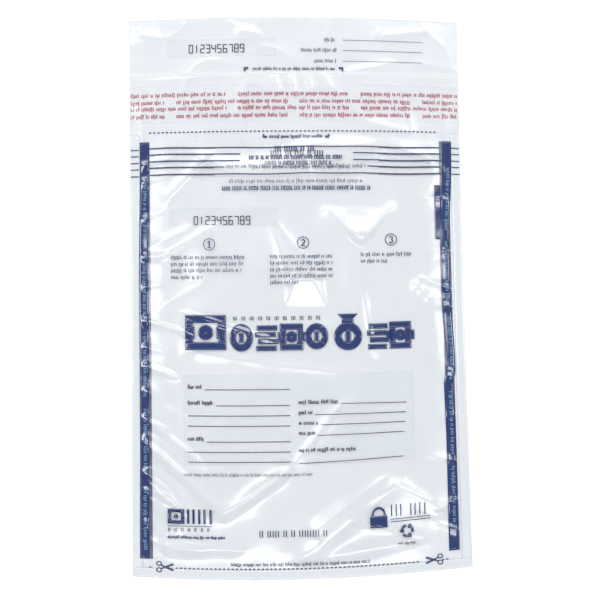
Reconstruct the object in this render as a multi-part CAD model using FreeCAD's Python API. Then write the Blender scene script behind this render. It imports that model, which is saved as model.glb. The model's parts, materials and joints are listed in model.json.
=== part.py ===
# Clear film deposit bag, lying front up: a flat rear film, a puffed front film that carries on past the
# mouth as the closure lip, and a tear-off receipt at the far end. Millimetres, +Z up, +Y to the receipt.
import FreeCAD, Part
import os

# Overall size
bag_width = 228.6
bag_length = 381.0
film = 0.10            # one film
ink = 0.03             # one printed layer
clearance = 0.04       # room for the rear print between the two films
weld_width = 6.5       # fused margin at both sides and the bottom

# Stations along the bag
end_y = bag_length / 2
perforation_y = end_y - 38.3
fold_y = end_y - 78.5
weld_top_y = fold_y - 1.0
mouth_y = fold_y - 3.0
bottom_y = -end_y + weld_width
fold_gap = 0.8
tear_gap = 0.3

# The puffed front film: flat foot, slope, plateau
puff = 5.4
inner_x = bag_width / 2 - weld_width
foot_x = 101.0
plateau_x = 89.0
bottom_foot_y = -176.0
bottom_plateau_y = -150.0
top_plateau_y = 62.0
top_foot_y = 104.0
front_z = 2 * film + clearance       # upper face of the front film where it lies flat

# Closure
strip_width = 25.6
strip_y = fold_y + 6.9
liner_film = 0.08
adhesive = 0.05

# Print
band_width = 6.4
band_ends = (-178.0, 106.0)
rule_thickness = 0.7
rule_reach = 101.2     # the rules stop beside the bands
rule_ys = (101.0, 96.6, 92.0, 87.6, 83.0)
rule_break = (-35.0, 42.0)
serial_x = (-87.5, -12.5)
serial_y = (47.9, 60.3)
receipt_serial_y = (164.0, 175.9)
receipt_rules = [(34.5, 90.0, 175.9), (34.5, 90.0, 168.6), (34.5, 90.0, 161.3)]
panel_x = (-79.0, 78.0)
panel_y = (-114.0, -53.0)
left_rules = [(-64.0, -6.0, -63.8), (-57.0, -6.0, -74.6), (-75.7, -6.0, -81.4), (-75.7, -6.0, -88.3),
              (-62.5, -6.0, -98.9), (-75.7, -6.0, -105.7), (-75.7, -6.0, -112.3)]
right_rules = [(28.5, 73.5, -72.8), (10.0, 73.5, -79.5), (14.0, 73.5, -86.3), (12.0, 73.5, -93.0),
               (41.0, 73.5, -110.4)]
form_rule = 0.35
mark_y = (-37.5, -12.3)
mark_x = (-77.0, 76.0)
mark_notes = 5
mark_gap = 4.0
mark_border = 2.5
mark_disc = 5.0


def lift(y):
    """Share of the full puff that the front film has at this station."""
    if y <= bottom_foot_y or y >= top_foot_y:
        return 0.0
    if y < bottom_plateau_y:
        return (y - bottom_foot_y) / (bottom_plateau_y - bottom_foot_y)
    if y > top_plateau_y:
        return (top_foot_y - y) / (top_foot_y - top_plateau_y)
    return 1.0


def crest(y):
    """Half the width of the raised middle of the front film at this station, and its height."""
    rise = lift(y)
    return foot_x - (foot_x - plateau_x) * rise, front_z + puff * rise


def front_row(y):
    """Points across the upper face of the front film at one station, with its creases."""
    crest_x, crest_z = crest(y)
    row = [(-inner_x, front_z), (-foot_x, front_z), (-crest_x, crest_z),
           (crest_x, crest_z), (foot_x, front_z), (inner_x, front_z)]
    return [FreeCAD.Vector(x, y, z) for x, z in row]


def panel(low, high):
    """Faces of a quad strip between two rows, leaving out what has no area."""
    faces = []
    for i in range(len(low) - 1):
        for corners in ((low[i], low[i + 1], high[i + 1]), (low[i], high[i + 1], high[i])):
            normal = (corners[1] - corners[0]).cross(corners[2] - corners[0])
            if normal.Length > 1e-6:
                faces.append(Part.Face(Part.makePolygon(list(corners) + [corners[0]])))
    return faces


def wall(edge, down):
    """Faces that close one edge of a sheet down to its lower side."""
    faces = []
    for a, b in zip(edge, edge[1:]):
        if (b - a).Length > 1e-6:
            faces.append(Part.Face(Part.makePolygon([a, b, b + down, a + down, a])))
    return faces


def sheet(rows, thickness):
    """A folded sheet as one closed solid, from rows of points on its upper side."""
    down = FreeCAD.Vector(0, 0, -thickness)
    under = [[p + down for p in row] for row in rows]
    faces = []
    for surface in (rows, under):
        for low, high in zip(surface, surface[1:]):
            faces += panel(low, high)
    left = [row[0] for row in rows]
    right = [row[-1] for row in rows]
    for edge in (rows[0], rows[-1], left, right):
        faces += wall(edge, down)
    shell = Part.makeShell(faces)
    shell.sewShape()
    solid = Part.makeSolid(shell).removeSplitter()
    if solid.Volume < 0:
        solid.reverse()
    return solid


def plate(x, y, z, thickness):
    """A flat plate between two x and two y stations, with its lower face at z."""
    return Part.makeBox(x[1] - x[0], y[1] - y[0], thickness, FreeCAD.Vector(x[0], y[0], z))


def rule(x_low, x_high, y, width, z):
    return plate((x_low, x_high), (y - width / 2, y + width / 2), z, ink)


def front_film():
    stations = (bottom_y, bottom_foot_y, bottom_plateau_y, top_plateau_y, top_foot_y, weld_top_y)
    return sheet([front_row(y) for y in stations], film)


def warning_rule(y, x_low, x_high):
    """One rule laid on the slope of the front film below the fold."""
    raised = FreeCAD.Vector(0, 0, ink)
    rows = []
    for edge in (y - rule_thickness / 2, y + rule_thickness / 2):
        crest_x, crest_z = crest(edge)
        if x_low < -foot_x:
            row = [(x_low, front_z), (-foot_x, front_z), (-crest_x, crest_z)]
        else:
            row = [(x_low, crest_z)]
        if x_high > foot_x:
            row += [(crest_x, crest_z), (foot_x, front_z), (x_high, front_z)]
        else:
            row.append((x_high, crest_z))
        rows.append([FreeCAD.Vector(x, edge, z) + raised for x, z in row])
    return sheet(rows, ink)


def warning_rules():
    solids = []
    for number, y in enumerate(rule_ys):
        if number in (0, len(rule_ys) - 1):
            solids.append(warning_rule(y, -rule_reach, rule_reach))
        else:
            solids.append(warning_rule(y, -rule_reach, rule_break[0]))
            solids.append(warning_rule(y, rule_break[1], rule_reach))
    return solids


def edge_band(side, z):
    near = inner_x - band_width
    x = (near, inner_x) if side > 0 else (-inner_x, -near)
    return plate(x, band_ends, z, ink)


def frame_plate(x, y, border, z):
    """A printed outline: a plate with its middle taken out."""
    outer = plate(x, y, z, ink)
    inner = plate((x[0] + border, x[1] - border), (y[0] + border, y[1] - border), z - 1, ink + 2)
    return outer.cut(inner)


def title_marks(z):
    """A row of plain banknote signs: an outline with a disc in its middle."""
    pitch = (mark_x[1] - mark_x[0]) / mark_notes
    middle_y = (mark_y[0] + mark_y[1]) / 2
    solids = []
    for number in range(mark_notes):
        low = mark_x[0] + number * pitch + mark_gap / 2
        high = low + pitch - mark_gap
        solids.append(frame_plate((low, high), mark_y, mark_border, z))
        centre = FreeCAD.Vector((low + high) / 2, middle_y, z)
        solids.append(Part.makeCylinder(mark_disc, ink, centre))
    return solids


plateau_z = front_z + puff
half_width = bag_width / 2
lip_z = front_z - film
both_x = (-half_width, half_width)
strip_ys = (strip_y, strip_y + strip_width)

nodes = {
    "back_panel": [plate((-inner_x, inner_x), (bottom_y, mouth_y), 0, film)],
    "front_panel": [front_film()],
    "left_side_weld": [plate((-half_width, -inner_x), (bottom_y, weld_top_y), 0, front_z)],
    "right_side_weld": [plate((inner_x, half_width), (bottom_y, weld_top_y), 0, front_z)],
    "bottom_weld": [plate(both_x, (-end_y, bottom_y), 0, front_z)],
    "front_band_left": [edge_band(-1, front_z)],
    "front_band_right": [edge_band(1, front_z)],
    "rear_band_left": [edge_band(-1, film)],
    "rear_band_right": [edge_band(1, film)],
    "front_warning_rules": warning_rules(),
    "rear_warning_rules": [rule(-foot_x, foot_x, y, rule_thickness, film) for y in rule_ys],
    "serial_panel": [plate(serial_x, serial_y, plateau_z, ink)],
    "title_marks": title_marks(plateau_z),
    "writing_panel": [plate(panel_x, panel_y, plateau_z, ink)],
    "writing_rules": [rule(*ends, form_rule, plateau_z + ink)
                      for ends in left_rules + right_rules],
    "closure_lip": [plate(both_x, (fold_y + fold_gap, perforation_y - tear_gap / 2), lip_z, film)],
    "adhesive_strip": [plate(both_x, strip_ys, lip_z - adhesive, adhesive)],
    "release_liner": [plate(both_x, strip_ys, 0, liner_film)],
    "tear_off_receipt": [plate(both_x, (perforation_y + tear_gap / 2, end_y), lip_z, film)],
    "receipt_serial_panel": [plate(serial_x, receipt_serial_y, front_z, ink)],
    "receipt_rules": [rule(*ends, form_rule, front_z) for ends in receipt_rules],
}

os.makedirs("parts", exist_ok=True)
for name, solids in nodes.items():
    shape = solids[0] if len(solids) == 1 else Part.makeCompound(solids)
    shape.exportStep("parts/" + name + ".step")
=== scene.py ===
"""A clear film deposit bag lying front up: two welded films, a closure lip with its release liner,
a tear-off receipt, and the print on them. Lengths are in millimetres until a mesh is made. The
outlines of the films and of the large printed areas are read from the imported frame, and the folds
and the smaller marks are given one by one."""
import json
import math
import random
from collections import Counter

import bpy
import numpy as np
from mathutils import Matrix, Vector


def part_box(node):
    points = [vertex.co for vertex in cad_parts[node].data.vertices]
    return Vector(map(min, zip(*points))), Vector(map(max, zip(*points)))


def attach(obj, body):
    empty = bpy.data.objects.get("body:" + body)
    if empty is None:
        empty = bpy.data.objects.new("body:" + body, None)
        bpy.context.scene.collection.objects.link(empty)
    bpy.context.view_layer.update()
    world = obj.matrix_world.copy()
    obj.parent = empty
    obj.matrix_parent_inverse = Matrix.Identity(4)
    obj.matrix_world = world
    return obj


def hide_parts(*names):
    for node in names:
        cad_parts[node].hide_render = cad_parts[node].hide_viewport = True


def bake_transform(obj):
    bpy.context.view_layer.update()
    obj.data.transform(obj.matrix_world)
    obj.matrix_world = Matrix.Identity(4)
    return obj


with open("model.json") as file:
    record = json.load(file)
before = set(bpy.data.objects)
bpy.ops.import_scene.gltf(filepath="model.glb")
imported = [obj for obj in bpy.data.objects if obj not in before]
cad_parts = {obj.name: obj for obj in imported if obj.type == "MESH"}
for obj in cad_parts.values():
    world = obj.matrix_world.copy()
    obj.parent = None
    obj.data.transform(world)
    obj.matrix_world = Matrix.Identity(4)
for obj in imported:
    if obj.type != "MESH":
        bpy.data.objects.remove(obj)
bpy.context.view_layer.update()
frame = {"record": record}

MM = 0.001
scene = bpy.context.scene


def span(node, axis):
    """Lowest and highest millimetre of a CAD node along one axis."""
    low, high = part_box(node)
    return low[axis] / MM, high[axis] / MM


# ---- stations read from the frame
HALF_WIDTH = span("bottom_weld", 0)[1]
END_Y = span("tear_off_receipt", 1)[1]
INNER_X = span("front_panel", 0)[1]
BOTTOM_Y = span("front_panel", 1)[0]
WELD_TOP_Y = span("front_panel", 1)[1]
MOUTH_Y = span("back_panel", 1)[1]
PERF_Y = span("closure_lip", 1)[1]
STRIP_Y = span("release_liner", 1)
BAND_Y = span("front_band_left", 1)
FOLD_Y = next(j for j in frame["record"]["behaviour"]["joints"] if j["name"] == "lip_fold")["pos_m"][1] / MM
FILM = 0.10
INK = 0.02          # one printed layer
INK_STEP = 0.9      # grid step of the print
PUFF = 5.4          # the most that the pouch stands up
KNEE = 4.4          # where its rise begins to be held back
CURL = 0.06         # how steeply the fused margins curl up
FOLD_HALF = 1.5     # the film turns over this much each side of the fold
FINE = 1.25      # grid step of the films

random.seed(7)
noise_rng = np.random.default_rng(11)


# ---- how the bag lies
def smooth(low, high, value):
    t = np.clip((value - low) / (high - low), 0.0, 1.0)
    return t * t * (3.0 - 2.0 * t)


def laid(x, y):
    """Where a point of the flat bag comes to lie: the film is a little out of square."""
    u = x / HALF_WIDTH
    v = y / END_Y
    share = (1.0 + v) / 2.0
    top = 2.7 - 1.85 * u - 3.35 * u * u
    bottom = -2.8 + 1.95 * u + 5.25 * u * u
    shift = (1.0 + u) / 2.0 * (0.6 * v * v - 2.2 * v)
    return x + shift, y + share * top + (1.0 - share) * bottom


def wave_set(count, shortest, longest):
    """Random plane waves: direction, wave number and phase."""
    angle = noise_rng.uniform(0, math.pi, count)
    number = 2 * math.pi / noise_rng.uniform(shortest, longest, count)
    return np.cos(angle) * number, np.sin(angle) * number, noise_rng.uniform(0, 2 * math.pi, count)


def waves(x, y, kit):
    total = np.zeros_like(x, dtype=float)
    for kx, ky, phase in zip(*kit):
        total += np.sin(kx * x + ky * y + phase)
    return total / math.sqrt(len(kit[0]) / 2)


FOLDS = wave_set(10, 34, 80)
RIPPLE = wave_set(18, 7, 18)
LIP_WAVES = wave_set(12, 30, 90)
REAR_WAVES = wave_set(12, 40, 110)


def crest_lines(x, y, kit, sharp):
    """Sharp-crested folds that wander where a smooth field changes sign."""
    return 1.0 / (1.0 + sharp * np.abs(waves(x, y, kit)))


# ---- the front film as simulated cloth
CLOTH_STEP = 3.0            # grid of the simulated film
CLOTH_UNIT = 0.01           # cloth units to a millimetre: the solver settles best near unit size
CLOTH_FRAMES = 45
CLOTH_BASE = 0.3            # how high the held edges lie
DRAWN_X = 0.0050            # share by which the welds draw the film in
DRAWN_Y = 0.0035
SHEAR = 0.15                # how far the held edges are out of true


def held_place(x, y):
    """Where a held edge point goes once the welds have cooled and drawn in, a little unevenly."""
    def uneven(along, phase):
        return 1 + 0.35 * math.sin(along / 37 + phase) + 0.25 * math.sin(along / 17 + 2 * phase)
    to_x = x * (1 - DRAWN_X * uneven(y, 1.0))
    to_x += SHEAR * (math.sin(y / 31 + 1.9) + 0.5 * math.sin(y / 14 + x / 60))
    to_y = BOTTOM_Y + (y - BOTTOM_Y) * (1 - DRAWN_Y * uneven(x, 2.0))
    to_y += SHEAR * (math.sin(x / 27 + 2.4 + y / 80) + 0.5 * math.sin(x / 13 + 2))
    return to_x, to_y


def cloth_faces(rows, columns, toss):
    """Triangles over a grid, each cell cut along either diagonal so that no direction folds first."""
    faces = []
    for row in range(rows - 1):
        for column in range(columns - 1):
            a = row * columns + column
            b, c, d = a + 1, a + columns + 1, a + columns
            faces += [(a, b, c), (a, c, d)] if toss.random() < 0.5 else [(a, b, d), (b, c, d)]
    return faces


def buckled_film():
    """Heights of the front film after its welds draw in: a cloth simulation over a flat table."""
    columns = round(2 * INNER_X / CLOTH_STEP) + 1
    rows = round((FOLD_Y - BOTTOM_Y) / CLOTH_STEP) + 1
    x, y = np.meshgrid(np.linspace(-INNER_X, INNER_X, columns), np.linspace(BOTTOM_Y, FOLD_Y, rows))
    held = np.zeros(x.shape, bool)
    held[:, [0, -1]] = held[[0, -1], :] = True
    toss = np.random.default_rng(5)
    shake = toss.uniform(-0.32, 0.32, (2, *x.shape)) * CLOTH_STEP * ~held
    x, y = x + shake[0], y + shake[1]
    start = np.random.default_rng(9)
    z = np.zeros_like(x)
    for _ in range(10):
        angle, number = start.uniform(0, math.pi), 2 * math.pi / start.uniform(40, 120)
        z += np.sin((x * np.cos(angle) + y * np.sin(angle)) * number + start.uniform(0, 2 * math.pi))
    points = np.stack([x, y, np.abs(z) * 0.1 + CLOTH_BASE], -1).reshape(-1, 3) * CLOTH_UNIT
    mesh = bpy.data.meshes.new("cloth_trial")
    mesh.from_pydata(points.tolist(), [], cloth_faces(rows, columns, toss))
    trial = bpy.data.objects.new("cloth_trial", mesh)
    scene.collection.objects.link(trial)
    edge = [int(v) for v in np.nonzero(held.ravel())[0]]
    trial.vertex_groups.new(name="held").add(edge, 1.0, "REPLACE")
    trial.shape_key_add(name="Basis")
    drawn = trial.shape_key_add(name="drawn_in")
    for v in edge:
        to_x, to_y = held_place(points[v][0] / CLOTH_UNIT, points[v][1] / CLOTH_UNIT)
        drawn.data[v].co = Vector((to_x, to_y, CLOTH_BASE)) * CLOTH_UNIT
    for value, when in ((0.0, 1), (1.0, CLOTH_FRAMES // 2)):
        drawn.value = value
        drawn.keyframe_insert("value", frame=when)
    cloth = trial.modifiers.new("cloth", "CLOTH")
    cloth.settings.vertex_group_mass = "held"
    cloth.settings.quality = 8
    for kind in ("tension", "compression", "shear"):
        setattr(cloth.settings, kind + "_stiffness", 60)
        setattr(cloth.settings, kind + "_damping", 5)
    cloth.settings.bending_stiffness = 2.0
    cloth.settings.bending_damping = 0.5
    cloth.settings.air_damping = 2
    cloth.settings.effector_weights.gravity = 0
    cloth.collision_settings.distance_min = 0.002
    cloth.collision_settings.collision_quality = 3
    cloth.point_cache.frame_start = 1
    cloth.point_cache.frame_end = CLOTH_FRAMES
    bpy.ops.mesh.primitive_plane_add(size=12, location=(0, 0, -0.003))
    table = bpy.context.object
    table.modifiers.new("table", "COLLISION")
    table.collision.thickness_outer = 0.002
    for when in range(1, CLOTH_FRAMES + 1):
        scene.frame_set(when)
    settled = trial.evaluated_get(bpy.context.evaluated_depsgraph_get()).to_mesh()
    result = np.empty(len(settled.vertices) * 3)
    settled.vertices.foreach_get("co", result)
    for piece in (trial, table):
        data = piece.data
        bpy.data.objects.remove(piece)
        bpy.data.meshes.remove(data)
    for action in list(bpy.data.actions):
        bpy.data.actions.remove(action)
    scene.frame_set(1)
    return result.reshape(rows, columns, 3)[..., 2] / CLOTH_UNIT - CLOTH_BASE


def averaged(heights, axis, times):
    """Each height averaged with its neighbours along one axis, over and over."""
    for _ in range(times):
        wide = np.pad(heights, [(1, 1) if n == axis else (0, 0) for n in range(2)], mode="edge")
        low, high = (wide[:-2], wide[2:]) if axis == 0 else (wide[:, :-2], wide[:, 2:])
        heights = 0.5 * heights + 0.25 * (low + high)
    return heights


EVENED = 2                  # rounds of averaging everywhere, which take the grid out of the film
WELD_EVENED = 14            # and along the welds
WELD_CALM = (4.0, 30.0)     # calmest this near to a weld, and not calmed past this


def calmed(heights):
    """The doubled film at the welds is stiffer, so the finest buckles die out beside it."""
    heights = averaged(averaged(heights, 0, EVENED), 1, EVENED)
    off = np.linspace(-INNER_X, INNER_X, heights.shape[1])
    beside = 1 - smooth(*WELD_CALM, INNER_X - np.abs(off))
    return heights * (1 - beside) + averaged(heights, 0, WELD_EVENED) * beside


BUCKLED = calmed(buckled_film())


def spline_weights(t):
    """The four weights of a uniform cubic spline."""
    return ((1 - t) ** 3 / 6,
            (3 * t ** 3 - 6 * t ** 2 + 4) / 6,
            (-3 * t ** 3 + 3 * t ** 2 + 3 * t + 1) / 6,
            t ** 3 / 6)


def buckled(x, y):
    """The simulated film between its grid points, smoothed by a cubic spline."""
    rows, columns = BUCKLED.shape
    u = np.clip((x + INNER_X) / (2 * INNER_X), 0, 1) * (columns - 1)
    v = np.clip((y - BOTTOM_Y) / (FOLD_Y - BOTTOM_Y), 0, 1) * (rows - 1)
    column, row = np.floor(u).astype(int), np.floor(v).astype(int)
    total = np.zeros_like(u)
    for n, across in enumerate(spline_weights(u - column)):
        near_column = np.clip(column + n - 1, 0, columns - 1)
        for m, along in enumerate(spline_weights(v - row)):
            total += across * along * BUCKLED[np.clip(row + m - 1, 0, rows - 1), near_column]
    return total


# Creases pressed into the front film: both ends, height, half width, and how round the crest is.
CREASES = [
    ((18.8, 60), (44.6, 38), 1.7, 5, 0.5), ((67.8, 62), (44.6, 38), 1.6, 5, 0.5),
    ((44.6, 40), (38, 2), -0.9, 6, 1.2),
    ((-92, 61), (-57, 95), 1.8, 5, 0.6), ((-101, 33), (-71, 48), 1.1, 3.4, 0.5),
    ((-77, -37), (-20, -46), 1.4, 5, 0.8),
    ((-20, -46), (36, -53), 1.3, 5, 0.8), ((36, -53), (52, -40), 1, 4, 0.8),
    ((-104, -100), (-51, -147), 2.6, 6.5, 0.5), ((-51, -147), (-6, -116), 2.4, 6, 0.5),
    ((-6, -116), (34, -68), 1.8, 5, 0.5), ((-2, -178), (68, -126), 3, 9, 2),
    ((80, 8), (91, -5), 1.2, 3.5, 0.8), ((60, -128), (98, -150), 1.4, 5, 1),
    ((4, 100), (12, 76), 0.9, 4, 0.8), ((72, 100), (98, 92), 0.9, 4, 1),
    ((-30, 70), (10, 20), 0.5, 3, 0.5), ((60, -20), (98, 20), 0.7, 4, 0.6),
    ((-96, -10), (-60, 12), 0.9, 3, 0.6), ((-90, -165), (-40, -172), 0.8, 3, 0.6),
    ((30, -150), (86, -172), 0.8, 3, 0.6), ((84, 60), (100, 88), 0.8, 4, 0.6),
    ((46, 2), (50, -32), 0.9, 2.4, 0.4), ((-97, 25), (-54, 49), 1.3, 3.6, 0.5),
    ((-103, -136), (-82, -160), 1.3, 3.4, 0.5), ((-102, -166), (-66, -172), 1.2, 3.4, 0.5),
    ((-103, -118), (-90, -140), 1, 3, 0.5), ((30, 68), (62, 98), 1.1, 4, 0.8),
    ((-16, 46), (-4, 8), 1.1, 4.5, 1), ((14, -24), (40, -10), 0.8, 3, 0.6),
]
# Puckers that fan out from the bands: where each starts, how far it runs, and its rise.
PUCKERS = [((-107.5, y), (-107.5 + reach, y + climb), rise, 2, 0.35) for y, reach, climb, rise in (
    (89, 24, 6, 0.7), (78, 20, 4, 0.8), (52, 34, 14, 0.6), (27, 20, 1, 1),
    (6, 16, 3, 0.5), (-16, 30, -8, 1.1), (-34, 22, -5, 0.6), (-47, 26, -9, 1.1),
    (-63, 34, -18, 0.7), (-82, 22, -10, 0.9), (-97, 30, -26, 0.9),
    (-119, 20, -14, 1), (-131, 26, -8, 1), (-152, 18, -9, 0.7))]
RIGHT_PUCKERS = [((107.5, y), (107.5 - reach, y + climb), rise, 1.8, 0.35) for y, reach, climb, rise in (
    (64, 22, 3, 0.4), (31, 16, -4, 0.4), (2, 26, 10, 0.6), (-10, 14, 2, 0.9),
    (-56, 12, 4, 1), (-84, 20, -6, 0.4), (-118, 24, 8, 0.5), (-143, 18, -6, 0.6),
    (-166, 20, 10, 0.7))]
LIP_CREASES = [
    ((-14, 152), (-10, 138), 0.7, 2.2, 0.4), ((-2, 152), (1, 134), 0.7, 2.2, 0.4),
    ((9, 152), (12, 140), 0.6, 2, 0.4), ((22, 152), (25, 139), 0.6, 2.2, 0.4),
    ((34, 152), (70, 160), 0.7, 2.5, 0.5), ((49, 119), (84, 111), 0.8, 4, 0.8),
    ((-110, 181), (-92, 178), 0.6, 2.2, 0.4), ((-40, 181), (-22, 179), 0.6, 2.2, 0.4),
    ((60, 178), (100, 184), 0.5, 3, 0.5), ((-100, 148), (-60, 150), 0.5, 2, 0.5),
]


def crease(x, y, start, end, height, width, blunt):
    """One fold: a ridge that dies away to both sides and at both ends."""
    ax, ay = start
    length = math.dist(start, end)
    ux, uy = (end[0] - ax) / length, (end[1] - ay) / length
    along = (x - ax) * ux + (y - ay) * uy
    off = (x - ax) * -uy + (y - ay) * ux
    reach = smooth(-0.12 * length, 0.18 * length, along) * (1 - smooth(0.82 * length, 1.12 * length, along))
    return height * reach * np.exp(-(np.sqrt(off * off + blunt * blunt) - blunt) / width)


def creases(x, y, table):
    total = np.zeros_like(x, dtype=float)
    for row in table:
        total += crease(x, y, *row)
    return total


def rear_height(x, y):
    """The rear film: nearly flat on the table, with a few shallow lifts."""
    edge = smooth(0, 18, INNER_X - np.abs(x)) * smooth(0, 18, y - BOTTOM_Y)
    return 0.08 + 0.30 * edge * np.clip(waves(x, y, REAR_WAVES), 0, 2)


def lip_height(x, y):
    """The lip, the liner and the receipt: one film lying on the table in low waves."""
    base = 0.45 + 0.15 * (waves(x, y, LIP_WAVES) + 1.6)
    base += 0.36 * crest_lines(x, y, FOLDS, 5.0) + creases(x, y, LIP_CREASES)
    base += 0.018 * waves(x, y, RIPPLE)
    return np.maximum(base, 0.42)


# Facets: the middle of the head, the way each runs down, its half width, spread, peak and slope.
FACETS = [((5.5, 10.5), -90, 6, 0.48, 4.3, 0.225), ((44.6, 36), 90, 0, 0.95, 2.6, 0.09)]
# Roof-shaped folds with flat sides: both ends, rise, and slope of the sides.
ROOFS = [((-82, -9), (0, -36), 0.95, 0.28), ((-105, -15.5), (-62, -31), 0.7, 0.28),
         ((-104, -46), (-80, -56), 0.9, 0.27), ((-104, -84), (-56, -122), 1.3, 0.32),
         ((-60, -150), (0, -112), 1.3, 0.17), ((-104, -126), (-74, -150), 1.1, 0.32),
         ((4, -162), (64, -120), 1.4, 0.17), ((-96, -172), (-30, -170), 0.9, 0.14),
         ((20, -176), (92, -166), 0.9, 0.14)]


def roofs(x, y):
    total = np.zeros_like(x, dtype=float)
    for start, end, rise, slope in ROOFS:
        length = math.dist(start, end)
        ux, uy = (end[0] - start[0]) / length, (end[1] - start[1]) / length
        along = ((x - start[0]) * ux + (y - start[1]) * uy) / length
        off = np.abs((x - start[0]) * -uy + (y - start[1]) * ux)
        reach = smooth(-0.05, 0.12, along) * (1 - smooth(0.7, 1.0, along))
        total += np.maximum(rise * reach - slope * off, 0.0)
    return total


def facet(x, y, point, turn, half, spread, peak, slope):
    """A flat facet that widens and runs down from its head, and falls off steeply on every other side."""
    ux, uy = math.cos(math.radians(turn)), math.sin(math.radians(turn))
    along = (x - point[0]) * ux + (y - point[1]) * uy
    beside = np.abs((y - point[1]) * ux - (x - point[0]) * uy) - half - spread * np.maximum(along, 0)
    fall = slope * np.maximum(along, 0) + 0.5 * np.maximum(-along, 0) + 0.42 * np.maximum(beside, 0)
    return peak - fall


CLOTH_SHARE = 0.66          # how much of the simulated height is left under the folds
HOLLOW = (5.5, -3.0)        # the film lies lower round the foot of the first facet
HOLLOW_SIZE = 16.0
FACET_SOFT = 0.5            # a facet comes out of the film over this height


def pouch_height(x, y):
    """The front film over the pouch: buckled by its welds, then creased and puckered."""
    beside = INNER_X - np.abs(x)
    near = smooth(0, 2, beside) * smooth(0, 7, y - BOTTOM_Y) * smooth(0, 8, FOLD_Y - y)
    height = CLOTH_SHARE * np.maximum(buckled(x, y), 0.0)
    height *= (1 - 0.5 * smooth(-20.0, -88.0, x)) * (1 - 0.4 * smooth(40.0, 92.0, x))
    height *= smooth(1.0, 17.0, beside)
    height *= 1 - 0.6 * np.exp(-((x - HOLLOW[0]) ** 2 + (y - HOLLOW[1]) ** 2) / HOLLOW_SIZE ** 2)
    for row in FACETS:
        above = facet(x, y, *row) - height
        height = np.where(above > 0, height + above * smooth(0, FACET_SOFT, above), height)
    for table in (CREASES, PUCKERS, RIGHT_PUCKERS):
        height += near * creases(x, y, table)
    height += near * (roofs(x, y) + 0.006 * waves(x, y, RIPPLE))
    over = np.maximum(height - KNEE, 0.0)
    return np.clip(height, 0.0, KNEE) + (PUFF - KNEE) * np.tanh(over / (PUFF - KNEE))


def front_height(x, y):
    """The front film from the bottom weld over the pouch and on into the lip."""
    pouch = rear_height(x, y) + 0.22 + pouch_height(x, y)
    blend = smooth(FOLD_Y - 9.0, FOLD_Y + 3.0, y)
    return pouch * (1 - blend) + lip_height(x, y) * blend


def weld_height(x, y):
    """The fused margin: thin, with the ripple that the sealing bar leaves."""
    inside = front_height(np.clip(x, -INNER_X, INNER_X), np.maximum(y, BOTTOM_Y))
    outside = smooth(0, 5, np.maximum(np.abs(x) - INNER_X, BOTTOM_Y - y))
    ripple = 0.05 * np.sin(y / 5.1 + x * 0.04) * np.sin(y / 13.0 + x / 17.0)
    curl = CURL * np.maximum(np.maximum(np.abs(x) - INNER_X, BOTTOM_Y - y), 0.0)
    return np.maximum(inside * 0.75 + 0.10 + ripple * outside, 0.22) + curl


def whole_height(x, y):
    """The front film and the fused margins beside it, as one surface."""
    margin = ((np.abs(x) > INNER_X) & (y < WELD_TOP_Y)) | (y < BOTTOM_Y)
    return np.where(margin, weld_height(x, y), front_height(x, y))


# ---- mesh making
def new_piece(name, points, faces, flat_from=None):
    """A mesh from millimetre points, faces after flat_from shaded flat."""
    mesh = bpy.data.meshes.new(name)
    mesh.from_pydata([tuple(p) for p in np.asarray(points) * MM], [], faces)
    shade = np.ones(len(faces), dtype=bool)
    if flat_from is not None:
        shade[flat_from:] = False
    mesh.polygons.foreach_set("use_smooth", shade)
    mesh.update()
    piece = bpy.data.objects.new(name, mesh)
    scene.collection.objects.link(piece)
    return piece


def stations(*marks, step=FINE):
    """Grid lines that pass through every mark, about step apart."""
    lines = []
    for low, high in zip(marks, marks[1:]):
        count = max(1, round((high - low) / step))
        lines += list(np.linspace(low, high, count, endpoint=False))
    return np.array(lines + [marks[-1]])


def film_piece(name, xs, ys, height, thickness=FILM, mask=None, lift=0.0, stray=None):
    """A thin closed sheet over a grid, as high as height says, laid out of square like the bag."""
    grid_x, grid_y = np.meshgrid(xs, ys)
    if stray:
        grid_x = grid_x + stray(grid_y)
    middle = height(grid_x, grid_y) + lift
    px, py = laid(grid_x, grid_y)
    upper = np.stack([px, py, middle + thickness / 2], -1).reshape(-1, 3)
    lower = np.stack([px, py, middle - thickness / 2], -1).reshape(-1, 3)
    nx, ny = len(xs), len(ys)
    cell_x, cell_y = np.meshgrid((xs[1:] + xs[:-1]) / 2, (ys[1:] + ys[:-1]) / 2)
    keep = np.ones((ny - 1, nx - 1), bool) if mask is None else mask(cell_x, cell_y)
    row, col = np.nonzero(keep)
    a = row * nx + col
    b, c, d = a + 1, a + nx + 1, a + nx
    total = nx * ny
    faces = np.stack([a, b, c, d], 1).tolist() + (np.stack([d, c, b, a], 1) + total).tolist()
    flat_from = len(faces)
    padded = np.pad(keep, 1)
    inner = padded[1:-1, 1:-1]
    for shift, first, second in (((0, 1), a, b), ((1, 2), b, c), ((2, 1), c, d), ((1, 0), d, a)):
        beside = padded[shift[0]:shift[0] + ny - 1, shift[1]:shift[1] + nx - 1]
        edge = (inner & ~beside)[row, col]
        for p, q in zip(first[edge].tolist(), second[edge].tolist()):
            faces.append([q, p, p + total, q + total])
    points = np.concatenate([upper, lower])
    used = np.zeros(len(points), bool)
    used[np.concatenate([a, b, c, d])] = True
    used[total:] = used[:total]
    index = np.cumsum(used) - 1
    faces = [[int(index[v]) for v in face] for face in faces]
    return new_piece(name, points[used], faces, flat_from)


TALL = 4.0          # marks this tall are plain bars, so that none can be taken for a letter
DOTS = (2.9, 1.4, 0.85)         # a dotted line: its pitch, and each dot's length and width


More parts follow.
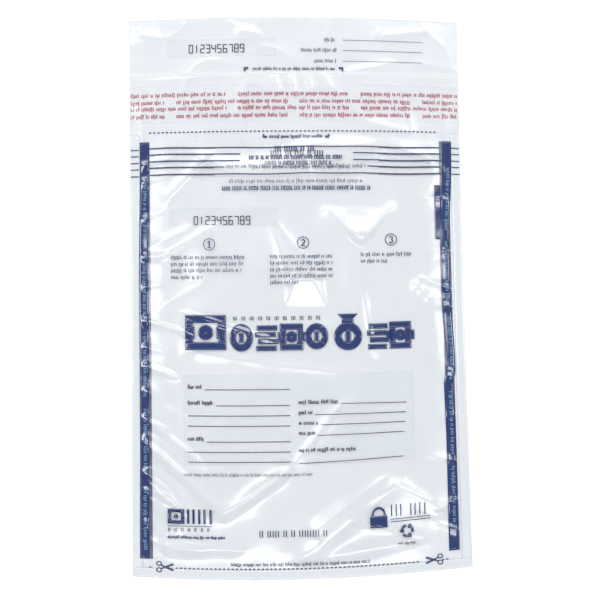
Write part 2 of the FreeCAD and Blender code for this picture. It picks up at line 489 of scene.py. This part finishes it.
class Print:
    """Flat shapes in the bag's own plane, made into one thin mesh that follows a film."""

    def __init__(self):
        self.quads = []

    def quad(self, a, b, c, d):
        self.quads.append((a, b, c, d))

    def rect(self, x0, y0, x1, y1):
        self.quad((x0, y0), (x1, y0), (x1, y1), (x0, y1))

    def line(self, start, end, width):
        length = math.dist(start, end)
        nx = -(end[1] - start[1]) / length * width / 2
        ny = (end[0] - start[0]) / length * width / 2
        self.quad((start[0] + nx, start[1] + ny), (start[0] - nx, start[1] - ny),
                  (end[0] - nx, end[1] - ny), (end[0] + nx, end[1] + ny))

    def ring(self, x, y, radius, width, start=0.0, turn=360.0, squash=1.0, count=28):
        count = max(4, round(count * abs(turn) / 360))
        spokes = []
        for n in range(count + 1):
            angle = math.radians(start + turn * n / count)
            cosine, sine = math.cos(angle), math.sin(angle) * squash
            spokes.append(((x + cosine * (radius - width / 2), y + sine * (radius - width / 2)),
                           (x + cosine * (radius + width / 2), y + sine * (radius + width / 2))))
        for (a, b), (d, c) in zip(spokes, spokes[1:]):
            self.quad(a, b, c, d)

    def disc(self, x, y, radius):
        """A ring so wide that only a pinhole is left."""
        self.ring(x, y, radius * 0.5, radius * 0.98, count=20)

    def outline(self, x0, y0, x1, y1, width):
        self.rect(x0, y0, x1, y0 + width)
        self.rect(x0, y1 - width, x1, y1)
        self.rect(x0, y0 + width, x0 + width, y1 - width)
        self.rect(x1 - width, y0 + width, x1, y1 - width)

    def dots(self, x0, x1, y, pitch, length, width):
        count = int((x1 - x0) / pitch)
        for n in range(count):
            low = x0 + n * pitch
            self.rect(low, y - width / 2, low + length, y + width / 2)

    def strokes(self, start, end, base, height, weight=0.36, upward=False, flip=1, caps=False):
        """Short bars in word-like groups, which say nothing. Caps are all one height."""
        def bar(low, high, foot, head):
            foot, head = sorted((base + flip * foot, base + flip * head))
            if upward:
                self.rect(2 * base - head, low, 2 * base - foot, high)
            else:
                self.rect(low, foot, high, head)

        place = start
        letters = random.randint(2, 8)
        while place < end - weight:
            foot = 0.0 if caps else height * random.choice((0.0, 0.0, 0.0, 0.0, -0.22))
            head = height if caps else height * random.choice((1.0, 0.72, 0.72, 0.72, 0.72))
            bar(place, place + weight, foot, head)
            if height < TALL and random.random() < 0.5 and place + weight * 2.2 < end:
                level = random.choice((foot, head - weight, (foot + head - weight) / 2))
                bar(place + weight, place + weight * 1.9, level, level + weight * 0.8)
            place += max(height * random.uniform(0.36, 0.44), weight * 1.55)
            letters -= 1
            if letters == 0:
                place += height * 0.42
                letters = random.randint(2, 8)

    def build(self, name, height, lift, stray=None):
        """Cut every shape into a grid, weld equal points, and lay the whole on a film."""
        points = []
        faces = []
        walls = []
        for a, b, c, d in self.quads:
            wide = max(math.dist(a, b), math.dist(d, c))
            tall = max(math.dist(a, d), math.dist(b, c))
            nu, nv = max(1, math.ceil(wide / INK_STEP)), max(1, math.ceil(tall / INK_STEP))
            base = len(points)
            size = (nu + 1) * (nv + 1)
            for side in (1, -1):
                for j in range(nv + 1):
                    for i in range(nu + 1):
                        s, t = i / nu, j / nv
                        x = (a[0] * (1 - s) + b[0] * s) * (1 - t) + (d[0] * (1 - s) + c[0] * s) * t
                        y = (a[1] * (1 - s) + b[1] * s) * (1 - t) + (d[1] * (1 - s) + c[1] * s) * t
                        points.append((x, y, side))
            for j in range(nv):
                for i in range(nu):
                    p = base + j * (nu + 1) + i
                    face = [p, p + 1, p + nu + 2, p + nu + 1]
                    faces.append(face)
                    faces.append([v + size for v in reversed(face)])
            rim = [base + i for i in range(nu)] + [base + nu + j * (nu + 1) for j in range(nv)]
            rim += [base + size - 1 - i for i in range(nu)]
            rim += [base + (nv - j) * (nu + 1) for j in range(nv)]
            for p, q in zip(rim, rim[1:] + rim[:1]):
                walls.append([q, p, p + size, q + size])
        flat, index = np.unique(np.round(points, 4), axis=0, return_inverse=True)
        index = index.ravel().tolist()
        faces = [[index[v] for v in face] for face in faces]
        walls = [[index[v] for v in wall] for wall in walls]
        shared = Counter(frozenset(wall) for wall in walls)
        walls = [wall for wall in walls if shared[frozenset(wall)] == 1]
        if stray:
            flat[:, 0] += stray(flat[:, 1])
        z = height(flat[:, 0], flat[:, 1]) + lift + flat[:, 2] * INK / 2
        px, py = laid(flat[:, 0], flat[:, 1])
        return new_piece(name, np.stack([px, py, z], 1), faces + walls, len(faces))


# ---- materials
def nodes_of(name):
    material = bpy.data.materials.new(name)
    material.use_nodes = True
    tree = material.node_tree
    tree.nodes.clear()
    return material, tree


def add(tree, kind, **values):
    node = tree.nodes.new(kind)
    for key, value in values.items():
        if hasattr(node, key):
            setattr(node, key, value)
        else:
            node.inputs[key.replace("_", " ")].default_value = value
    return node


def noise(tree, scale, detail=3.0, rough=0.55):
    place = add(tree, "ShaderNodeTexCoord")
    cloud = add(tree, "ShaderNodeTexNoise", Scale=scale, Detail=detail, Roughness=rough)
    tree.links.new(place.outputs["Object"], cloud.inputs["Vector"])
    return cloud.outputs["Fac"]


def ranged(tree, value, low, high, from_low=0.3, from_high=0.7):
    scale = add(tree, "ShaderNodeMapRange")
    tree.links.new(value, scale.inputs["Value"])
    for key, number in (("From Min", from_low), ("From Max", from_high), ("To Min", low), ("To Max", high)):
        scale.inputs[key].default_value = number
    return scale.outputs["Result"]


def tinted(tree, value, first, second):
    mix = add(tree, "ShaderNodeMix", data_type="RGBA")
    tree.links.new(value, mix.inputs["Factor"])
    mix.inputs["A"].default_value = (*first, 1)
    mix.inputs["B"].default_value = (*second, 1)
    return mix.outputs["Result"]


def bumped(tree, value, distance):
    bump = add(tree, "ShaderNodeBump", Strength=1.0, Distance=distance)
    tree.links.new(value, bump.inputs["Height"])
    return bump.outputs["Normal"]


def finished(tree, surface):
    out = add(tree, "ShaderNodeOutputMaterial")
    tree.links.new(surface.outputs[0], out.inputs["Surface"])


BLOOM_ROUGH = 0.17      # blown film also scatters part of its gloss more widely
BLOOM_SHARE = 0.60


def film_material(name, haze, tint, cloud_tint, rough, shine=0.025, bump=0.00003):
    """Blown film: see-through with a little milk in it, and a gloss that grows at grazing angles."""
    material, tree = nodes_of(name)
    link = tree.links.new
    clouds = noise(tree, 28.0)
    clear = add(tree, "ShaderNodeBsdfTransparent")
    clear.inputs["Color"].default_value = (*tint, 1)
    milk = add(tree, "ShaderNodeBsdfDiffuse")
    link(tinted(tree, clouds, cloud_tint, tuple(c * 0.94 for c in cloud_tint)), milk.inputs["Color"])
    body = add(tree, "ShaderNodeMixShader")
    link(ranged(tree, clouds, haze * 0.85, haze * 1.15), body.inputs["Fac"])
    link(clear.outputs[0], body.inputs[1])
    link(milk.outputs[0], body.inputs[2])
    gloss = add(tree, "ShaderNodeBsdfGlossy")
    link(ranged(tree, noise(tree, 90.0), rough * 0.7, rough * 1.3), gloss.inputs["Roughness"])
    fine = bumped(tree, noise(tree, 420.0, 4.0), bump)
    link(fine, gloss.inputs["Normal"])
    bloom = add(tree, "ShaderNodeBsdfGlossy", Roughness=rough + BLOOM_ROUGH)
    lustre = add(tree, "ShaderNodeMixShader", Fac=BLOOM_SHARE)
    link(gloss.outputs[0], lustre.inputs[1])
    link(bloom.outputs[0], lustre.inputs[2])
    facing = add(tree, "ShaderNodeLayerWeight", Blend=0.5)
    steep = add(tree, "ShaderNodeMath", operation="POWER")
    link(facing.outputs["Facing"], steep.inputs[0])
    steep.inputs[1].default_value = 4.0
    share = ranged(tree, steep.outputs[0], shine, 0.75, 0.0, 1.0)
    surface = add(tree, "ShaderNodeMixShader")
    link(share, surface.inputs["Fac"])
    link(body.outputs[0], surface.inputs[1])
    link(lustre.outputs[0], surface.inputs[2])
    finished(tree, surface)
    return material


def ink_material(name, colour, worn, rough=0.09, scale=160.0):
    """Flexographic ink: even, with the faint mottle and pinholes of a printed film."""
    material, tree = nodes_of(name)
    mottle = noise(tree, scale, 5.0, 0.65)
    shader = add(tree, "ShaderNodeBsdfPrincipled")
    tree.links.new(tinted(tree, mottle, colour, worn), shader.inputs["Base Color"])
    tree.links.new(ranged(tree, mottle, rough, rough + 0.03), shader.inputs["Roughness"])
    tree.links.new(bumped(tree, mottle, 0.00001), shader.inputs["Normal"])
    shader.inputs["Specular IOR Level"].default_value = 0.75
    finished(tree, shader)
    return material


FILM_LOOK = film_material("blown_film", 0.028, (0.907, 0.917, 0.927), (0.82, 0.86, 0.91), 0.15, shine=0.045)
REAR_LOOK = film_material("rear_film", 0.010, (0.999, 0.999, 0.999), (0.84, 0.88, 0.92), 0.20, shine=0.005)
WELD_LOOK = film_material("welded_film", 0.040, (0.922, 0.932, 0.942), (0.76, 0.80, 0.86), 0.10, shine=0.05)
LINER_LOOK = film_material("release_liner", 0.008, (0.998, 0.998, 0.999), (0.90, 0.92, 0.95), 0.28,
                           shine=0.008)
TACK_LOOK = film_material("adhesive", 0.005, (0.999, 0.999, 0.998), (0.90, 0.92, 0.90), 0.34, shine=0.005)
PANEL_LOOK = film_material("writing_ink", 0.016, (0.990, 0.992, 0.995), (0.76, 0.80, 0.86), 0.45, shine=0.012)
LABEL_LOOK = film_material("label_ink", 0.014, (0.988, 0.990, 0.992), (0.72, 0.76, 0.82), 0.45, shine=0.012)
NAVY = ink_material("navy_ink", (0.019, 0.034, 0.122), (0.030, 0.048, 0.145))
NAVY_REAR = ink_material("navy_ink_rear", (0.040, 0.055, 0.140), (0.055, 0.075, 0.170))
CRIMSON = ink_material("crimson_ink", (0.50, 0.004, 0.052), (0.60, 0.012, 0.080), 0.30)
GREY = ink_material("grey_ink", (0.040, 0.034, 0.052), (0.070, 0.060, 0.080), 0.25)
SLATE = ink_material("slate_ink", (0.055, 0.070, 0.140), (0.085, 0.105, 0.180), 0.25)
PALE = ink_material("pale_ink", (0.20, 0.40, 0.56), (0.26, 0.46, 0.62), 0.25)

PRINTED = 0.13      # print stands this far above the middle of its film
COATED = 0.08       # a coat that carries other print


def dress(piece, material, body=None, nodes=()):
    piece.data.materials.append(material)
    if body:
        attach(piece, body)
    if nodes:
        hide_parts(*nodes)
    return piece


def lay(art, name, height, ink, body="bag", nodes=()):
    """Print that lies on a film."""
    return dress(art.build(name, height, PRINTED), ink, body, nodes)


def over_fold(piece):
    """For film that turns about the fold line between the bag and the lip: only bakes its placement into its
    mesh.
    """
    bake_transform(piece)


# ---- films
full_xs = stations(-HALF_WIDTH, -INNER_X, INNER_X, HALF_WIDTH)
inner_xs = stations(-INNER_X, INNER_X)
fold_ys = np.concatenate([
    stations(BOTTOM_Y, FOLD_Y - FOLD_HALF)[:-1],
    np.linspace(FOLD_Y - FOLD_HALF, FOLD_Y + FOLD_HALF, 9)[:-1],
    stations(FOLD_Y + FOLD_HALF, PERF_Y)])

front = film_piece("front_film", full_xs, fold_ys, front_height,
                   mask=lambda x, y: (np.abs(x) < INNER_X) | (y > WELD_TOP_Y))
dress(front, FILM_LOOK, None, ("front_panel", "closure_lip"))
over_fold(front)

rear = film_piece("rear_film", inner_xs, stations(BOTTOM_Y, MOUTH_Y), rear_height)
dress(rear, REAR_LOOK, "bag", ("back_panel",))

WELD_THICK = 0.2
side_ys = stations(BOTTOM_Y, WELD_TOP_Y)
for name, node, xs, ys in (("left_weld", "left_side_weld", stations(-HALF_WIDTH, -INNER_X), side_ys),
                           ("right_weld", "right_side_weld", stations(INNER_X, HALF_WIDTH), side_ys),
                           ("foot_weld", "bottom_weld", full_xs, stations(-END_Y, BOTTOM_Y))):
    weld = film_piece(name, xs, ys, weld_height, WELD_THICK)
    dress(weld, WELD_LOOK, "bag", (node,))

strip_xs = stations(-HALF_WIDTH, HALF_WIDTH)
strip_ys = stations(*STRIP_Y)
tack = film_piece("adhesive_coat", strip_xs, strip_ys, lip_height, 0.05, lift=-0.12)
dress(tack, TACK_LOOK, "lip", ("adhesive_strip",))
liner = film_piece("liner_film", strip_xs, strip_ys, lip_height, 0.08, lift=-0.26)
dress(liner, LINER_LOOK, "liner", ("release_liner",))

TIE_PITCH = 4.0         # perforation: a short tie in every pitch
TIE_LENGTH = 1.0
TOOTH = 0.15            # how far the ties stand out
receipt_start = span("tear_off_receipt", 1)[0]


def receipt_mask(x, y):
    """The receipt with the slits between its ties left out."""
    in_slit = y < receipt_start + TOOTH
    return ~in_slit | (np.mod(x + HALF_WIDTH, TIE_PITCH) < TIE_LENGTH)


tie_xs = np.append(np.arange(-HALF_WIDTH, HALF_WIDTH, TIE_PITCH / 4), HALF_WIDTH)
receipt_ys = np.append(receipt_start, stations(receipt_start + TOOTH, END_Y))
receipt = film_piece("receipt_film", tie_xs, receipt_ys, lip_height, mask=receipt_mask)
dress(receipt, FILM_LOOK, "receipt", ("tear_off_receipt",))


# ---- print on the receipt
DIGITS = {"0": "abcdef", "1": "bc", "2": "abged", "3": "abgcd", "4": "fgbc", "5": "afgcd",
          "6": "afgedc", "7": "abc", "8": "abcdefg", "9": "abcdfg"}


def digit(art, figure, x, y, width, height, weight):
    """A plain seven-bar figure."""
    if figure == "1":
        x -= width / 2
    mid = y + height / 2
    bars = {"a": ((x, y + height), (x + width, y + height)), "g": ((x, mid), (x + width, mid)),
            "d": ((x, y), (x + width, y)), "f": ((x, mid), (x, y + height)), "e": ((x, y), (x, mid)),
            "b": ((x + width, mid), (x + width, y + height)), "c": ((x + width, y), (x + width, mid))}
    for key in DIGITS[figure]:
        art.line(*bars[key], weight)


def serial(art, x0, x1, y, height):
    """The plain figures 0 to 9 in a row."""
    pitch = (x1 - x0) / 10
    for n, figure in enumerate("0123456789"):
        digit(art, figure, x0 + n * pitch, y, pitch * 0.62, height, 0.62)


def printed_area(name, node, height, body, look):
    """A pale coat over the whole of a CAD node's rectangle."""
    xs, ys = stations(*span(node, 0)), stations(*span(node, 1))
    piece = film_piece(name, xs, ys, height, INK, lift=COATED)
    return dress(piece, look, body, (node,))


printed_area("receipt_label", "receipt_serial_panel", lip_height, "receipt", LABEL_LOOK)
art = Print()
label_y = span("receipt_serial_panel", 1)
serial(art, -72.5, -32.9, sum(label_y) / 2 - 3.2, 5.4)
lay(art, "receipt_serial", lip_height, GREY, body="receipt")

art = Print()
rule_x = span("receipt_rules", 0)
for y, start in zip((175.0, 167.8, 160.5), (21.6, 5.4, 14.7)):
    art.rect(rule_x[0], y - 0.15, rule_x[1], y + 0.15)
    art.strokes(start, rule_x[0] - 4.5, y - 0.9, 2.5, 0.42)
lay(art, "receipt_lines", lip_height, SLATE, body="receipt", nodes=("receipt_rules",))

art = Print()
for side in (-1, 1):
    art.line((side * 31.6, 155.6), (side * 34.6, 155.6), 1.5)
    art.line((side * 34.0, 155.4), (side * 34.0, 153.4), 1.2)
art.strokes(-28.5, 28.5, 154.2, 2.2, 0.46)
lay(art, "tear_caption", lip_height, NAVY, body="receipt")

# ---- print on the liner and the fold
PHRASE = 77.6           # one run of bars, and how far apart the runs start
PHRASE_PITCH = 85.5
ROW_HEIGHT = 2.9
art = Print()
for row, (y, flip) in enumerate(((139.0, -1), (134.0, -1), (127.4, 1), (122.3, 1))):
    start = -HALF_WIDTH - PHRASE_PITCH * (0.62 if row % 2 else 0.12)
    while start < HALF_WIDTH:
        low, high = max(start, -HALF_WIDTH + 1), min(start + PHRASE, HALF_WIDTH - 1)
        if high - low > 4:
            art.strokes(low, high, y, ROW_HEIGHT, 0.62, flip=flip)
        start += PHRASE_PITCH
dress(art.build("liner_print", lip_height, -0.32), CRIMSON, "liner")

art = Print()
art.dots(-100.8, 101.5, FOLD_Y + 0.3, *DOTS)
fold_dots = art.build("fold_dots", front_height, PRINTED)
dress(fold_dots, NAVY, None)
over_fold(fold_dots)
art = Print()
art.strokes(-17.5, 19.5, FOLD_Y - 4.4, 2.4, 0.55)
for side in (-1, 1):
    art.line((1.0 + side * 23.0, FOLD_Y - 3.6), (1.0 + side * 20.2, FOLD_Y - 3.6), 1.5)
    art.line((1.0 + side * 22.6, FOLD_Y - 3.4), (1.0 + side * 22.6, FOLD_Y - 1.8), 1.2)
lay(art, "fold_caption", front_height, NAVY)

# ---- warnings
RULE_YS = (101.4, 97.0, 92.3, 87.9, 83.1)
RULE_GAPS = (None, (-38.0, 40.2), (-38.0, 40.2), (-49.0, 50.0), None)


def waver(x):
    """How far the long rules stray from straight across the bag."""
    return 0.25 * math.sin(x / 17.0) + 0.15 * math.sin(x / 7.3 + 1.0)


def ruled(start, end, y, width):
    """A long rule in short lengths that waver a little."""
    points = [(x, y + waver(x)) for x in stations(start, end, step=6.0)]
    for low, high in zip(points, points[1:]):
        art.line(low, high, width)


art = Print()
for y, gap in zip(RULE_YS, RULE_GAPS):
    if gap:
        ruled(-100.6, gap[0], y, 0.8)
        ruled(gap[1], 101.0, y, 0.8)
    else:
        ruled(-100.6, 101.0, y, 0.8)
    for side, drop in ((-1, 0.7), (1, 0.1)):
        art.line((side * 108.3, y - drop), (side * (HALF_WIDTH - 0.6), y - drop - 0.2), 0.7)
lay(art, "warning_rules", whole_height, NAVY, nodes=("front_warning_rules",))
art = Print()
art.strokes(-14.0, 13.5, 98.2, 4.0, 0.95, caps=True)
art.strokes(-31.8, 33.3, 92.9, 2.8, 0.72, caps=True)
art.strokes(-47.7, 48.4, 87.3, 2.6, 0.40)
art.strokes(-45.8, 46.8, 76.9, 2.6, 0.40)
art.strokes(-50.7, 52.2, 71.9, 2.8, 0.72, caps=True)
lay(art, "warning_text", front_height, NAVY)
art = Print()
for y in RULE_YS:
    ruled(-100.6, -56.0, y - 0.25, 0.6)
    ruled(58.0, 101.0, y - 0.25, 0.6)
art.strokes(-17.0, 21.0, 99.2, 4.2, 0.95, flip=-1, caps=True)
art.strokes(-21.0, 26.0, 92.0, 2.6, 0.60, flip=-1, caps=True)
art.strokes(-29.0, 38.0, 88.6, 2.4, 0.40, flip=-1)
dress(art.build("rear_warning", rear_height, 0.08), NAVY_REAR, "bag", ("rear_warning_rules",))

# ---- edge bands
band_ys = stations(BAND_Y[0], BAND_Y[1])


def left_stray(y):
    """How far the left band strays from straight along the bag."""
    return 0.3 - 1.3 * (1 - smooth(10.0, 90.0, y)) - 0.6 * (1 - smooth(-178.0, -90.0, y))


def right_stray(y):
    """The right band bows out twice on its way down."""
    upper_bow = 1.7 * smooth(0.0, -48.0, y) * smooth(-62.0, -55.0, y)
    lower_bow = 0.5 * smooth(-62.0, -100.0, y) * smooth(-178.0, -110.0, y)
    return -2.4 + 3.0 * smooth(30.0, 100.0, y) + upper_bow + lower_bow


def band(name, node, height, lift, look, stray):
    low, high = span(node, 0)
    band_xs = stations(low, high, step=1.3)
    piece = film_piece(name, band_xs, band_ys, height, INK, lift=lift, stray=stray)
    return dress(piece, look, "bag", (node,))


band("left_band", "front_band_left", whole_height, COATED, NAVY, left_stray)
band("right_band", "front_band_right", front_height, COATED, NAVY, right_stray)
band("left_band_rear", "rear_band_left", rear_height, COATED, NAVY_REAR, lambda y: 0.6)
band("right_band_rear", "rear_band_right", rear_height, COATED, NAVY_REAR, lambda y: -1.5)
for name, base, first, stray in (("left_band_print", -103.3, 6, left_stray),
                                 ("right_band_print", 106.4, 14, right_stray)):
    art = Print()
    place = BAND_Y[0] + first
    while place < BAND_Y[1] - 20:
        art.strokes(place, min(place + 44, BAND_Y[1] - 4), base, 2.6, 0.34, upward=True)
        place += 52
    dress(art.build(name, whole_height, PRINTED, stray=stray), PALE, "bag")
art = Print()
art.rect(95.8, 37.4, 100.2, 75.0)
dress(art.build("band_doubled", front_height, COATED), NAVY, "bag")

# ---- serial label, steps and title
printed_area("bag_label", "serial_panel", front_height, "bag", LABEL_LOOK)
art = Print()
serial(art, -70.3, -30.3, 48.9, 5.4)
lay(art, "bag_serial", front_height, GREY)

art = Print()


def step_figure(figure, x, y):
    """A round-shouldered 1, 2 or 3, nearly five millimetres tall."""
    if figure == "1":
        art.line((x + 0.1, y - 2.3), (x + 0.1, y + 2.4), 1.0)
        art.line((x - 1.1, y + 1.5), (x + 0.1, y + 2.2), 0.5)
        art.line((x - 1.1, y - 2.2), (x + 1.3, y - 2.2), 0.45)
    elif figure == "2":
        art.ring(x, y + 1.05, 1.1, 0.65, 160.0, -200.0)
        art.line((x + 0.95, y + 0.5), (x - 1.1, y - 1.9), 0.75)
        art.line((x - 1.35, y - 2.0), (x + 1.45, y - 2.0), 0.7)
    else:
        art.ring(x, y + 1.2, 1.0, 0.65, 165.0, -245.0)
        art.ring(x, y - 1.1, 1.15, 0.70, 80.0, -245.0)


for (x, y), figure in zip(((-60.1, 35.2), (4.6, 36.0), (65.2, 37.5)), "123"):
    art.ring(x, y, 3.9, 0.5)
    step_figure(figure, x, y)
for low, high, lines in ((-86.4, -34.3, (25.4, 20.9, 16.5, 12.0)),
                         (-18.3, 26.7, (25.6, 21.2, 16.8, 12.4, 8.0)),
                         (44.3, 83.4, (26.4, 21.9))):
    for n, y in enumerate(lines):
        end = high if n < len(lines) - 1 else low + (high - low) * 0.5
        art.strokes(low, end - random.uniform(0, 4), y, 2.7, 0.46)
lay(art, "step_print", front_height, NAVY)

art = Print()


def note_sign(x0, x1, y0, y1, border):
    """A banknote sign: an outline, a disc and two small bars."""
    art.outline(x0, y0, x1, y1, border)
    cx, cy, r = (x0 + x1) / 2, (y0 + y1) / 2, (y1 - y0) * 0.22
    art.disc(cx, cy, r)
    half = border * 0.45
    for side in (-1, 1):
        bar_x = cx + side * r * 1.9
        art.rect(bar_x - half, cy - r * 0.8, bar_x + half, cy + r * 0.8)


def coin_sign(x0, x1, y0, y1, border):
    """A coin sign: a ring round a short bar."""
    cx, cy, r = (x0 + x1) / 2, (y0 + y1) / 2, (x1 - x0) / 2
    art.ring(cx, cy, r - border / 2, border, squash=(y1 - y0) / (x1 - x0))
    art.rect(cx - border * 0.4, cy - r * 0.42, cx + border * 0.4, cy + r * 0.42)


def stack_sign(x0, x1, y0, y1, border):
    """A stack of four coins seen from the side."""
    pitch = (y1 - y0) / 4
    for n in range(4):
        shift = (0.0, 1.2, -0.6, 0.5)[n]
        art.rect(x0 + 0.9 + shift, y0 + n * pitch, x1 - 0.9 + shift, y0 + (n + 0.76) * pitch)


def sack_sign(x0, x1, y0, y1, border):
    """A tied sack: a round body, a narrow neck and a ruffle."""
    cx, r = (x0 + x1) / 2, (x1 - x0) * 0.42
    art.ring(cx, y0 + r, r - border / 2, border)
    neck = y0 + 2 * r - 1.0
    art.rect(cx - r * 0.42, neck, cx + r * 0.42, neck + border * 0.55)
    art.quad((cx - r * 0.3, neck + border * 0.55), (cx + r * 0.3, neck + border * 0.55),
             (cx + r * 0.75, y1), (cx - r * 0.75, y1))
    art.rect(cx - border * 0.4, y0 + r - r * 0.42, cx + border * 0.4, y0 + r + r * 0.42)


note_sign(-77.2, -49.4, -36.3, -12.8, 5.2)
SMALL_TOP = -18.8       # the signs after the first are smaller
SMALL_FOOT = -37.4
for n, sign in enumerate((coin_sign, stack_sign, note_sign, coin_sign)):
    low = -46.8 + n * 17.2
    sign(low, low + 15.8, SMALL_FOOT + 0.3 * n, SMALL_TOP, 4.2)
sack_sign(22.9, 45.6, -37.6, -12.8, 5.2)
for n, sign in enumerate((stack_sign, note_sign)):
    low = 47.0 + n * 15.6
    sign(low, low + 14.8, SMALL_FOOT, SMALL_TOP, 4.2)
lay(art, "title_signs", front_height, NAVY, nodes=("title_marks",))
art = Print()
for n in range(11):
    art.strokes(-44.3 + n * 5.7, -41.6 + n * 5.7, -16.4, 2.6, 0.45, caps=True)
lay(art, "title_line", front_height, NAVY)

# ---- writing panel
printed_area("writing_area", "writing_panel", front_height, "bag", PANEL_LOOK)
art = Print()
RULE = 0.52
for x0, x1, y in ((-64.1, -6.2, -63.2), (-56.7, -6.4, -74.0), (-75.9, -6.5, -80.9), (-76.0, -6.5, -87.8),
                  (-63.2, -6.5, -98.4), (-76.2, -6.5, -105.3), (-76.2, -6.5, -112.0)):
    art.rect(x0, y - RULE / 2, x1, y + RULE / 2)
for x0, y, x1, rise in ((28.6, -73.4, 73.0, -0.8), (10.4, -80.5, 72.4, -0.3), (14.4, -87.4, 71.8, 0.0),
                        (12.2, -94.5, 71.0, 0.4), (-1.0, -113.2, 70.0, 2.4)):
    art.line((x0, y), (x1, y + rise), RULE)
for x0, x1, y in ((-76.0, -65.4, -62.4), (-76.1, -58.6, -73.2), (-76.4, -65.2, -97.6), (-0.5, 27.4, -73.2),
                  (-0.5, 9.2, -80.2), (-0.5, 13.0, -87.2), (-0.5, 11.2, -94.0), (-0.5, 39.0, -105.4)):
    art.strokes(x0, x1, y, 2.7, 0.64)
art.strokes(-79.1, 8.0, -121.4, 2.1, 0.32)
lay(art, "form_lines", front_height, GREY, nodes=("writing_rules",))

# ---- foot of the bag
art = Print()
# left mark: a banknote and bold bars over a line of small marks
art.outline(-90.4, -153.6, -79.2, -143.6, 2.4)
art.disc(-84.8, -148.6, 1.6)
art.strokes(-77.4, -59.6, -153.4, 9.6, 1.5, caps=True)
for n in range(7):
    art.strokes(-90.2 + n * 4.4, -88.2 + n * 4.4, -158.6, 2.3, 0.4, caps=True)
art.rect(-90.6, -155.3, -60.6, -154.9)
art.strokes(-90.6, -51.2, -163.4, 2.0, 0.62)
art.strokes(-28.6, 18.7, -162.2, 4.4, 0.62, caps=True)
# right mark: a closed padlock, marks beside it and two rules below
art.rect(46.2, -158.4, 57.8, -150.4)
art.ring(52.0, -150.2, 4.2, 1.4, 0, 180, squash=1.25)
art.strokes(60.4, 86.4, -151.2, 8.0, 0.8, caps=True)
art.line((60.0, -153.2), (87.0, -152.4), 0.55)
art.line((60.0, -155.0), (87.0, -154.2), 0.55)
# three bent arrows in a ring
for n in range(3):
    start = 100 + 120 * n
    art.ring(71.0, -161.6, 3.6, 1.7, start, 78)
    tip = math.radians(start + 96)
    root = math.radians(start + 76)
    for radius in (2.0, 5.0):
        art.line((71.0 + radius * math.cos(root), -161.6 + radius * math.sin(root)),
                 (71.0 + 3.6 * math.cos(tip), -161.6 + 3.6 * math.sin(tip)), 1.1)
art.strokes(64.6, 77.4, -170.6, 1.9, 0.42)
lay(art, "foot_marks", front_height, NAVY)

art = Print()


def scissors(x, y, facing):
    """Open scissors lying along the cut line."""
    for side in (-1, 1):
        art.ring(x - facing * 4.2, y + side * 2.1, 1.6, 0.75, squash=0.85, count=16)
        art.line((x - facing * 3.0, y + side * 1.3), (x + facing * 1.0, y - side * 0.4), 0.9)
        art.line((x + facing * 0.4, y - side * 0.1), (x + facing * 5.4, y - side * 2.0), 1.3)


scissors(-92.5, BOTTOM_Y + 1.0, 1)
scissors(88.6, BOTTOM_Y + 1.0, -1)
lay(art, "scissor_signs", whole_height, NAVY)
art = Print()
art.dots(-103.3, -97.5, BOTTOM_Y + 0.5, *DOTS)
art.dots(-85.5, 82.0, BOTTOM_Y + 0.5, *DOTS)
art.dots(94.0, 100.5, BOTTOM_Y + 0.5, *DOTS)
art.strokes(-48.3, 45.4, BOTTOM_Y + 2.6, 2.3, 0.44)
lay(art, "cut_line", front_height, NAVY)

# ---- stage, light and camera
bpy.ops.mesh.primitive_plane_add(size=6.0, location=(0, 0, -0.0002))
floor = bpy.context.object
floor.name = "floor"
paint, paint_tree = nodes_of("floor_paint")
matt = add(paint_tree, "ShaderNodeBsdfPrincipled", Roughness=0.9)
matt.inputs["Specular IOR Level"].default_value = 0.0
pale = tinted(paint_tree, noise(paint_tree, 2.0), (0.93, 0.93, 0.93), (0.94, 0.94, 0.94))
paint_tree.links.new(pale, matt.inputs["Base Color"])
finished(paint_tree, matt)
floor.data.materials.append(paint)

BOX_HEIGHT = 1.5
# white soft lights, aimed at the middle of the bag
for name, x, y, wide, deep, power in (
        ("left_box", -0.88, 0.10, 0.34, 0.90, 11.0),
        ("right_box", 0.95, 0.05, 0.28, 0.80, 7.6),
        ("far_box", 0.05, 0.95, 0.90, 0.42, 9.7),
        ("near_box", 0.00, -0.67, 0.70, 0.27, 6.0),
        ("far_left_box", -0.55, 0.62, 0.34, 0.34, 3.0),
        ("far_right_box", 0.58, 0.58, 0.34, 0.34, 3.0)):
    lamp = bpy.data.lights.new(name, "AREA")
    lamp.shape = "RECTANGLE"
    lamp.size, lamp.size_y = wide, deep
    lamp.energy = power
    light = bpy.data.objects.new(name, lamp)
    light.location = (x, y, BOX_HEIGHT)
    light.rotation_euler = (-light.location).to_track_quat("-Z", "Y").to_euler()
    scene.collection.objects.link(light)

world = bpy.data.worlds.new("studio")
world.use_nodes = True
sky = world.node_tree.nodes["Background"]
sky.inputs["Color"].default_value = (0.90, 0.92, 0.96, 1)
sky.inputs["Strength"].default_value = 0.21
scene.world = world

CAMERA_AWAY = 0.95
CAMERA_TILT = math.radians(2.49)
CAMERA_ROLL = math.radians(-0.712)
AIM = Vector((0.0018, -0.0030, 0.0))
camera_data = bpy.data.cameras.new("camera")
camera_data.sensor_width = 36.0
camera_data.lens = 82.92
camera = bpy.data.objects.new("camera", camera_data)
camera.matrix_world = (Matrix.Translation(AIM) @ Matrix.Rotation(CAMERA_TILT, 4, "X")
                       @ Matrix.Translation((0, 0, CAMERA_AWAY)) @ Matrix.Rotation(CAMERA_ROLL, 4, "Z"))
scene.collection.objects.link(camera)
bpy.context.scene.camera = camera
scene.view_settings.view_transform = "Standard"
scene.cycles.transparent_max_bounces = 32
